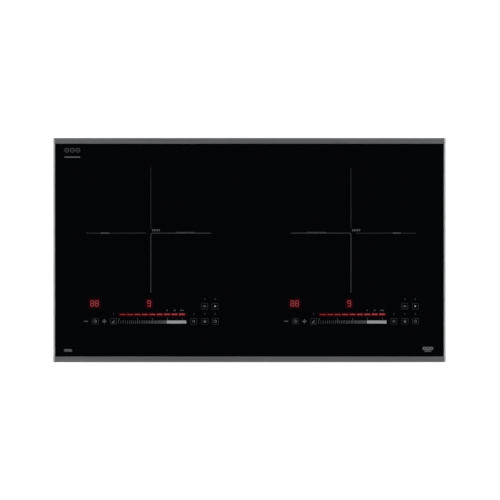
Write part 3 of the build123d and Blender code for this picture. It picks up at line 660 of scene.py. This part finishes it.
def glow_patch(name, x, y, width, height, spread, material):
    """A patch of glass that light spreads through, brightest over the display and fading out round it."""
    bm = bmesh.new()
    bmesh.ops.create_grid(bm, x_segments=28, y_segments=14, size=0.5)
    bmesh.ops.scale(bm, vec=(width + 2 * spread, height + 2 * spread, 1), verts=bm.verts)
    layer = bm.verts.layers.float.new("glow")
    for vert in bm.verts:
        out_x = max(0.0, abs(vert.co.x) - width / 2)
        out_y = max(0.0, abs(vert.co.y) - height / 2)
        out = math.hypot(out_x, out_y)
        fade = max(0.0, 1.0 - out / spread)
        vert[layer] = 0.5 * fade ** 1.5 if out > 0 else 1.0
    bmesh.ops.translate(bm, vec=(x, y, GLOW_FACE), verts=bm.verts)
    bmesh.ops.solidify(bm, geom=list(bm.faces), thickness=GLOW_FACE - GLASS_FACE)
    return finish_mesh(bm, name, material)


class COOKTOP_OT_displays(bpy.types.Operator):
    """Build the lit digits and bars of both touch panels"""
    bl_idname = "cooktop.displays"
    bl_label = "Lit displays"

    def execute(self, context):
        settings = context.scene.cooktop_display
        lit = red_segment_diffuser(settings.segment_shade, settings.segment_colour, settings.brightness)
        tint = context.scene.cooktop_glass.tint
        glow = display_glow_glass(tint, settings.glow_colour, settings.brightness)
        width, height = settings.digit_width, settings.digit_height
        for side, centre in ZONES.items():
            x = centre.x
            bm = bmesh.new()
            for digit, place in zip(settings.left_digits, TIMER_DIGITS_X):
                draw_digit(bm, digit, x + place, DIGITS_Y, width, height)
            draw_digit(bm, settings.power_digit, x + POWER_DIGIT_X, DIGITS_Y, width, height)
            lay_on_glass(bm, GLASS_FACE, LIT_FACE)
            finish_mesh(bm, f"{side}_lit_digits", lit)
            bm = bmesh.new()
            for bar in range(settings.bar_count):
                share = bar / max(1, settings.bar_count - 1)
                thick = (1.05 + 2.0 * share) * MM
                rise = 0.6 * share * MM
                flat_pad(bm, x + FIRST_BAR_X + bar * BAR_PITCH, BARS_Y + rise, BAR_LENGTH, thick, 0.3 * MM)
            lay_on_glass(bm, GLASS_FACE, LIT_FACE)
            finish_mesh(bm, f"{side}_lit_bars", lit)
            timer_x = x + sum(TIMER_DIGITS_X) / 2
            patch_w = TIMER_DIGITS_X[1] - TIMER_DIGITS_X[0] + width
            power_x = x + POWER_DIGIT_X
            glow_patch(f"{side}_timer_glow", timer_x, DIGITS_Y, patch_w, height, GLOW_SPREAD, glow)
            glow_patch(f"{side}_power_glow", power_x, DIGITS_Y, width, height, GLOW_SPREAD, glow)
            bars_w = (settings.bar_count - 1) * BAR_PITCH + BAR_LENGTH
            bars_x = x + FIRST_BAR_X + (settings.bar_count - 1) * BAR_PITCH / 2
            glow_patch(f"{side}_bar_glow", bars_x, BARS_Y, bars_w, 3.0 * MM, BAR_GLOW_SPREAD, glow)
        return {"FINISHED"}


def draw_symbol(bm, name, x, y):
    """Adds the plain symbol of one touch key round (x, y)."""
    line = 0.75 * MM
    if name == "minus":
        flat_pad(bm, x, y, 7.2 * MM, 1.4 * MM, 0.5 * MM)
    elif name == "plus":
        flat_pad(bm, x, y, 7.2 * MM, 1.8 * MM, 0.5 * MM)
        flat_pad(bm, x, y, 1.8 * MM, 7.2 * MM, 0.5 * MM)
    elif name == "timer":
        flat_ring(bm, x, y, 2.7 * MM, line)
        flat_line(bm, (x, y), (x, y + 1.7 * MM), line)
        flat_line(bm, (x, y), (x + 1.3 * MM, y), line)
    elif name == "boost":
        flat_line(bm, (x - 2.6 * MM, y - 2.8 * MM), (x + 1.4 * MM, y + 1.6 * MM), 1.5 * MM)
        flat_line(bm, (x - 3.4 * MM, y - 3.2 * MM), (x + 3.2 * MM, y - 3.2 * MM), line)
    elif name == "pause":
        flat_pad(bm, x - 1.4 * MM, y, 1.2 * MM, 4.2 * MM, 0.2 * MM)
        flat_pad(bm, x + 1.4 * MM, y, 1.2 * MM, 4.2 * MM, 0.2 * MM)
    elif name == "lock":
        flat_pad(bm, x, y - 0.9 * MM, 4.2 * MM, 3.0 * MM, 0.4 * MM)
        flat_ring(bm, x, y + 0.6 * MM, 1.5 * MM, line, 0.0, math.pi, 10)
    elif name == "power":
        flat_ring(bm, x, y, 2.3 * MM, line, math.radians(120), math.radians(300), 20)
        flat_line(bm, (x, y + 0.4 * MM), (x, y + 3.0 * MM), line)
    elif name == "bridge":
        flat_ring(bm, x, y, 1.5 * MM, line)
        flat_line(bm, (x - 3.6 * MM, y), (x - 1.6 * MM, y), line)
        flat_line(bm, (x + 1.6 * MM, y), (x + 3.6 * MM, y), line)


class COOKTOP_OT_touch_panels(bpy.types.Operator):
    """Print the touch keys, indicators and sliders of both panels"""
    bl_idname = "cooktop.touch_panels"
    bl_label = "Touch panels"

    def execute(self, context):
        settings = context.scene.cooktop_print
        outline = screen_printed_enamel("enamel_screen_printed_dim", settings.frame_ink)
        symbol = screen_printed_enamel("enamel_screen_printed_symbol", settings.symbol_ink)
        scale_ink = screen_printed_enamel("enamel_screen_printed_scale", settings.scale_ink)
        solid = screen_printed_enamel("enamel_screen_printed_light", settings.bar_ink)
        white = screen_printed_enamel("enamel_screen_printed_white", settings.status_ink)
        for side, centre in ZONES.items():
            x = centre.x
            frames = bmesh.new()
            symbols = bmesh.new()
            key = settings.key_size
            for row, keys in ((KEYS_Y, KEY_X), (UPPER_KEYS_Y, UPPER_KEY_X)):
                for name, place in keys.items():
                    draw_symbol(symbols, name, x + place * MM, row)
                    if name not in ("minus", "plus"):
                        flat_frame(frames, x + place * MM, row, key, key * 0.93, 1.8 * MM, 0.42 * MM)
            # A small dot over a framed key shows that it is live
            for row, places in ((DOTS_Y, DOT_X), (UPPER_DOTS_Y, UPPER_DOT_X)):
                for place in places:
                    flat_ring(frames, x + place * MM, row, 0.55 * MM, 1.0 * MM, steps=14)
            lay_on_glass(frames, GLASS_FACE, INK_FACE)
            finish_mesh(frames, f"{side}_key_frames", outline)
            # One, two and three marks over the last three bars
            pitch = 2.2 * MM
            for number, bar in enumerate((6, 7, 8)):
                first = x + FIRST_BAR_X + bar * BAR_PITCH - number / 2 * pitch
                tick_row(symbols, first, LEVEL_MARKS_Y, pitch, number + 1, 1.2 * MM, 2.2 * MM, TICK_CORNER)
            lay_on_glass(symbols, GLASS_FACE, INK_FACE)
            finish_mesh(symbols, f"{side}_key_symbols", symbol)
            self.slider(side, x, settings.slider_height, scale_ink, solid)
            bm = bmesh.new()
            flat_ring(bm, x + UPPER_KEY_X["status"] * MM, UPPER_KEYS_Y, 0.7 * MM, 1.3 * MM, steps=18)
            lay_on_glass(bm, GLASS_FACE, INK_FACE)
            finish_mesh(bm, f"{side}_status_dot", white)
        return {"FINISHED"}

    def slider(self, side, x, height, scale_ink, solid):
        """Strokes that close up to the right, then a solid bar, with a taller stroke every few levels."""
        bm = bmesh.new()
        place = SLIDER_START
        for stroke in range(SLIDER_STROKES):
            share = stroke / (SLIDER_STROKES - 1)
            pitch = (4.25 - 2.4 * share) * MM
            width = (0.42 + 0.95 * share) * MM
            flat_pad(bm, x + place, SLIDER_Y, width, height)
            place += pitch
        for tall in TALL_STROKE_X:
            flat_pad(bm, x + tall * MM, SLIDER_Y + height / 2 + 2.2 * MM, 0.5 * MM, 4.4 * MM)
        lay_on_glass(bm, GLASS_FACE, INK_FACE)
        finish_mesh(bm, f"{side}_slider_scale", scale_ink)
        bm = bmesh.new()
        middle = (SLIDER_SOLID + SLIDER_END) / 2
        flat_pad(bm, x + middle, SLIDER_Y, SLIDER_END - SLIDER_SOLID, height, 0.3 * MM)
        lay_on_glass(bm, GLASS_FACE, INK_FACE)
        finish_mesh(bm, f"{side}_slider_bar", solid)


class COOKTOP_OT_corner_marks(bpy.types.Operator):
    """Print plain marks in three corners of the glass"""
    bl_idname = "cooktop.corner_marks"
    bl_label = "Corner marks"

    def execute(self, context):
        settings = context.scene.cooktop_print
        ink = screen_printed_enamel("enamel_screen_printed_corner", settings.corner_ink)
        faint = screen_printed_enamel("enamel_screen_printed_corner_dim", settings.faint_ink)
        bm = bmesh.new()
        # Rear left: a row of three plain cookware and coil symbols
        for place in (-339.0, -328.8, -318.6):
            flat_ring(bm, place * MM, 185.4 * MM, 3.8 * MM, 0.8 * MM)
            flat_line(bm, ((place - 1.8) * MM, 185.4 * MM), ((place + 1.8) * MM, 185.4 * MM), 0.8 * MM)
        # Front left: a plain bar
        flat_pad(bm, -336.7 * MM, -186.2 * MM, 14.8 * MM, 4.6 * MM, 1.0 * MM)
        lay_on_glass(bm, GLASS_FACE, INK_FACE)
        finish_mesh(bm, "left_corner_marks", faint)
        bm = bmesh.new()
        flat_pad(bm, -329.0 * MM, 172.6 * MM, 29.0 * MM, 1.6 * MM, 0.5 * MM)
        # Front right: three loops of a coil on a short rule
        for loop in range(3):
            flat_ring(bm, (325.0 + 6.4 * loop) * MM, -182.6 * MM, 2.5 * MM, 1.7 * MM, 0.0, math.pi, 14)
        flat_line(bm, (321.6 * MM, -183.9 * MM), (341.2 * MM, -183.9 * MM), 1.9 * MM)
        flat_line(bm, (325.2 * MM, -187.3 * MM), (337.6 * MM, -187.3 * MM), 1.9 * MM)
        lay_on_glass(bm, GLASS_FACE, INK_FACE)
        finish_mesh(bm, "corner_marks", ink)
        return {"FINISHED"}


class COOKTOP_OT_finishes(bpy.types.Operator):
    """Give every modelled part the finish of its real material"""
    bl_idname = "cooktop.finishes"
    bl_label = "Part finishes"

    def execute(self, context):
        settings = context.scene.cooktop_trims
        zinc = worked_metal("steel_zinc_plated", "#A6A8AA", 0.34, 900.0, 0.02)
        polyamide = moulded("polyamide_glass_filled_black", "#1A1B1D", 0.5)
        tray = moulded("abs_moulded_anthracite", "#25272A", 0.45)
        fan = moulded("pbt_moulded_black", "#141517", 0.4)
        epoxy = moulded("epoxy_moulded_black", "#111214", 0.35, 0.3, 0.01)
        rolled = worked_metal("aluminium_rolled_sheet", "#C6C8CA", 0.3, 260.0, 0.02)
        extruded = brushed_metal("aluminium_extruded", linear("#B9BBBD"), 0.36, "x")
        board = solder_masked_board()
        trim = brushed_metal("steel_brushed_trim", settings.bar_colour, 0.46, "x")
        # The side trims' lighter colour is partly painted light from the side softboxes
        side_trim_lit = brushed_metal("aluminium_satin_anodised_painted_light", settings.side_lit_colour, 0.54, "y")
        pan = galvanised_sheet()
        plans = {
            "front_trim": trim,
            "rear_trim": trim,
            "left_trim": side_trim_lit,
            "right_trim": side_trim_lit,
            "worktop_seal": moulded("epdm_foam_closed_cell", "#1B1B1C", 0.85, 0.9, 0.2),
            "glass_carrier": polyamide,
            "cable_gland": polyamide,
            "base_pan": pan,
            "pan_screws": zinc,
            "clamp_nuts": zinc,
            "mica_sheets": moulded("mica_paper_pressed", "#B5A98C", 0.6, 2.4, 0.03, 0.7),
            "ferrite_bars": moulded("ferrite_sintered", "#26241F", 0.7, 0.5, 0.05),
            "coil_springs": worked_metal("spring_steel_blued", "#6C7078", 0.32, 500.0, 0.01),
            "temperature_sensors": moulded("ceramic_fired_white", "#D8D5CC", 0.5, 0.5, 0.02, 0.9),
            "board_trays": tray,
            "terminal_box": tray,
            "terminal_cover": tray,
            "power_switches": epoxy,
            "display_modules": epoxy,
            "capacitors": moulded("polyester_film_box_blue", "#1E3C78", 0.3, 0.4, 0.01, Coat_Weight=0.3),
            "chokes": banded("copper_wire_enamelled", "#A5602E", "#4A2210", 0.35, 1.0, 1.0, "X"),
            "filter_board": board,
            "touch_contacts": moulded("foam_conductive_grey", "#2C2D2F", 0.8, 0.8, 0.1),
            "fan_covers": fan,
            "fan_bushes": worked_metal("bronze_sintered", "#9C7A44", 0.42, 1400.0, 0.03),
            "fan_stators": banded("silicon_steel_laminated", "#7A7C80", "#34363A", 0.4, 1.0, 0.5, "Z"),
            "terminal_block": moulded("polyamide_moulded_white", "#CFCDC4", 0.45, 0.7, 0.02, 0.92),
            "coil_leads": moulded("silicone_sleeve_red", "#7C1B14", 0.5, 0.6, 0.05),
            "mains_wires": moulded("pvc_wire_brown", "#5A3018", 0.45, 0.6, 0.03),
            "control_cables": banded("pvc_flat_cable_grey", "#9A9C9E", "#707274", 0.5, 0.0, 1.27, "X"),
        }
        endings = {
            "_coil_holder": moulded("polyphenylene_sulphide_moulded", "#231D19", 0.5),
            "_shield_plate": rolled,
            "_power_board": board,
            "_control_board": board,
            "_heat_sink": extruded,
            "_control_tray": tray,
            "_fan_housing": fan,
            "_impeller": fan,
            "_fan_shaft": zinc,
            "_clamp_arm": pan,
            "_clamp_screw": zinc,
        }
        for side, centre in ZONES.items():
            plans[f"{side}_coil"] = enamelled_litz(f"copper_litz_enamelled_{side}", centre)
        for name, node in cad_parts.items():
            if name == "glass_top":
                continue
            found = plans.get(name) or next((m for end, m in endings.items() if name.endswith(end)), None)
            if found is None:
                raise RuntimeError(f"no finish for {name}")
            for place in node.material_slots:
                place.material = found
        return {"FINISHED"}


# Stage. Each softbox has its place in metres and its share of the power.

SOFTBOXES = {
    "left": ((-2.4, 0.1, 1.9), 1.0),
    "right": ((2.4, 0.1, 1.9), 1.0),
    "front": ((0.0, -2.6, 2.0), 0.45),
    "rear": ((0.0, 2.6, 2.0), 0.45),
}
SOFTBOX_LENGTH = 2.2
SOFTBOX_DEPTH = 1.2
FLOOR_RADIUS = 24.0
HORIZON = (0.9, 0.9, 0.9, 1.0)
OVERHEAD_CARD = (0.004, 0.004, 0.005, 1.0)
CAMERA_PLACE = (1.1 * MM, 0.2 * MM)


class COOKTOP_OT_stage(bpy.types.Operator):
    """Set the floor, the softboxes, the dark overhead card and the camera"""
    bl_idname = "cooktop.stage"
    bl_label = "Studio"

    def execute(self, context):
        settings = context.scene.cooktop_stage
        self.floor()
        self.softboxes(settings.softbox_power)
        self.world(context.scene)
        self.camera(context.scene, settings)
        context.scene.view_settings.view_transform = "Standard"
        return {"FINISHED"}

    def floor(self):
        bm = bmesh.new()
        bmesh.ops.create_circle(bm, cap_ends=True, segments=96, radius=FLOOR_RADIUS)
        bmesh.ops.translate(bm, vec=(0, 0, CAD_BOX[0][2] - 0.2 * MM), verts=bm.verts)
        mesh = bpy.data.meshes.new("floor")
        bm.to_mesh(mesh)
        bm.free()
        material, tree, shader, place = start_material("floor_paper_white", linear("#C4C4C4"), 0.9)
        shader.inputs["Emission Color"].default_value = linear("#FFFFFF")
        shader.inputs["Emission Strength"].default_value = 0.8
        mesh.materials.append(material)
        floor = bpy.data.objects.new("floor", mesh)
        bpy.context.scene.collection.objects.link(floor)

    def softboxes(self, power):
        for name, (place, share) in SOFTBOXES.items():
            light = bpy.data.lights.new(f"{name}_softbox", "AREA")
            light.shape = "RECTANGLE"
            light.size = SOFTBOX_LENGTH
            light.size_y = SOFTBOX_DEPTH
            light.energy = power * share
            lamp = bpy.data.objects.new(f"{name}_softbox", light)
            lamp.location = place
            lamp.rotation_euler = (-Vector(place)).to_track_quat("-Z", "Y").to_euler()
            lamp.visible_camera = False
            bpy.context.scene.collection.objects.link(lamp)

    def world(self, scene):
        """Pale at the horizon and black overhead, so the glass stays black from above."""
        world = bpy.data.worlds.new("studio")
        world.use_nodes = True
        tree = world.node_tree
        background = tree.nodes["Background"]
        place = add_node(tree, "ShaderNodeTexCoord")
        parts = add_node(tree, "ShaderNodeSeparateXYZ", links={"Vector": place.outputs["Generated"]})
        add_node(
            tree, "ShaderNodeValToRGB", links={"Fac": parts.outputs["Z"]},
            stops=((0.05, HORIZON), (0.6, OVERHEAD_CARD)),
            feeds={"Color": background.inputs["Color"]})
        # Brighter to the left and right, so that the slim side trims stand out
        side = add_node(tree, "ShaderNodeMath", {"operation": "ABSOLUTE"}, links={0: parts.outputs["X"]})
        add_node(
            tree, "ShaderNodeMapRange",
            values={"From Min": 0.2, "From Max": 0.8, "To Min": 0.55, "To Max": 1.0},
            links={"Value": side.outputs["Value"]},
            feeds={"Result": background.inputs["Strength"]})
        scene.world = world

    def camera(self, scene, settings):
        data = bpy.data.cameras.new("camera")
        data.lens = settings.lens
        distance = settings.view_width / data.sensor_width * data.lens
        camera = bpy.data.objects.new("camera", data)
        camera.location = (*CAMERA_PLACE, TOP + distance)
        scene.collection.objects.link(camera)
        scene.camera = camera


OPERATORS = (
    COOKTOP_OT_glass,
    COOKTOP_OT_zone_marks,
    COOKTOP_OT_displays,
    COOKTOP_OT_touch_panels,
    COOKTOP_OT_corner_marks,
    COOKTOP_OT_finishes,
    COOKTOP_OT_stage,
)


class COOKTOP_PT_panel(bpy.types.Panel):
    """Lists the cooktop's pieces in build order"""
    bl_label = "Induction cooktop"
    bl_idname = "COOKTOP_PT_panel"
    bl_space_type = "VIEW_3D"
    bl_region_type = "UI"
    bl_category = "Cooktop"

    def draw(self, context):
        for operator in OPERATORS:
            self.layout.operator(operator.bl_idname)
        for group in SETTINGS:
            settings = getattr(context.scene, group)
            for name in settings.bl_rna.properties.keys():
                if name not in ("rna_type", "name"):
                    self.layout.prop(settings, name)


SETTINGS = {
    "cooktop_print": PrintSettings,
    "cooktop_display": DisplaySettings,
    "cooktop_glass": GlassSettings,
    "cooktop_trims": TrimSettings,
    "cooktop_stage": StageSettings,
}


def register():
    for name, group in SETTINGS.items():
        bpy.utils.register_class(group)
        setattr(bpy.types.Scene, name, bpy.props.PointerProperty(type=group))
    for operator in OPERATORS:
        bpy.utils.register_class(operator)
    bpy.utils.register_class(COOKTOP_PT_panel)


def unregister():
    bpy.utils.unregister_class(COOKTOP_PT_panel)
    for operator in reversed(OPERATORS):
        bpy.utils.unregister_class(operator)
    for name, group in SETTINGS.items():
        delattr(bpy.types.Scene, name)
        bpy.utils.unregister_class(group)


def main():
    register()
    bpy.ops.cooktop.glass()
    bpy.ops.cooktop.zone_marks()
    bpy.ops.cooktop.displays()
    bpy.ops.cooktop.touch_panels()
    bpy.ops.cooktop.corner_marks()
    bpy.ops.cooktop.finishes()
    bpy.ops.cooktop.stage()


if __name__ == "__main__":
    main()
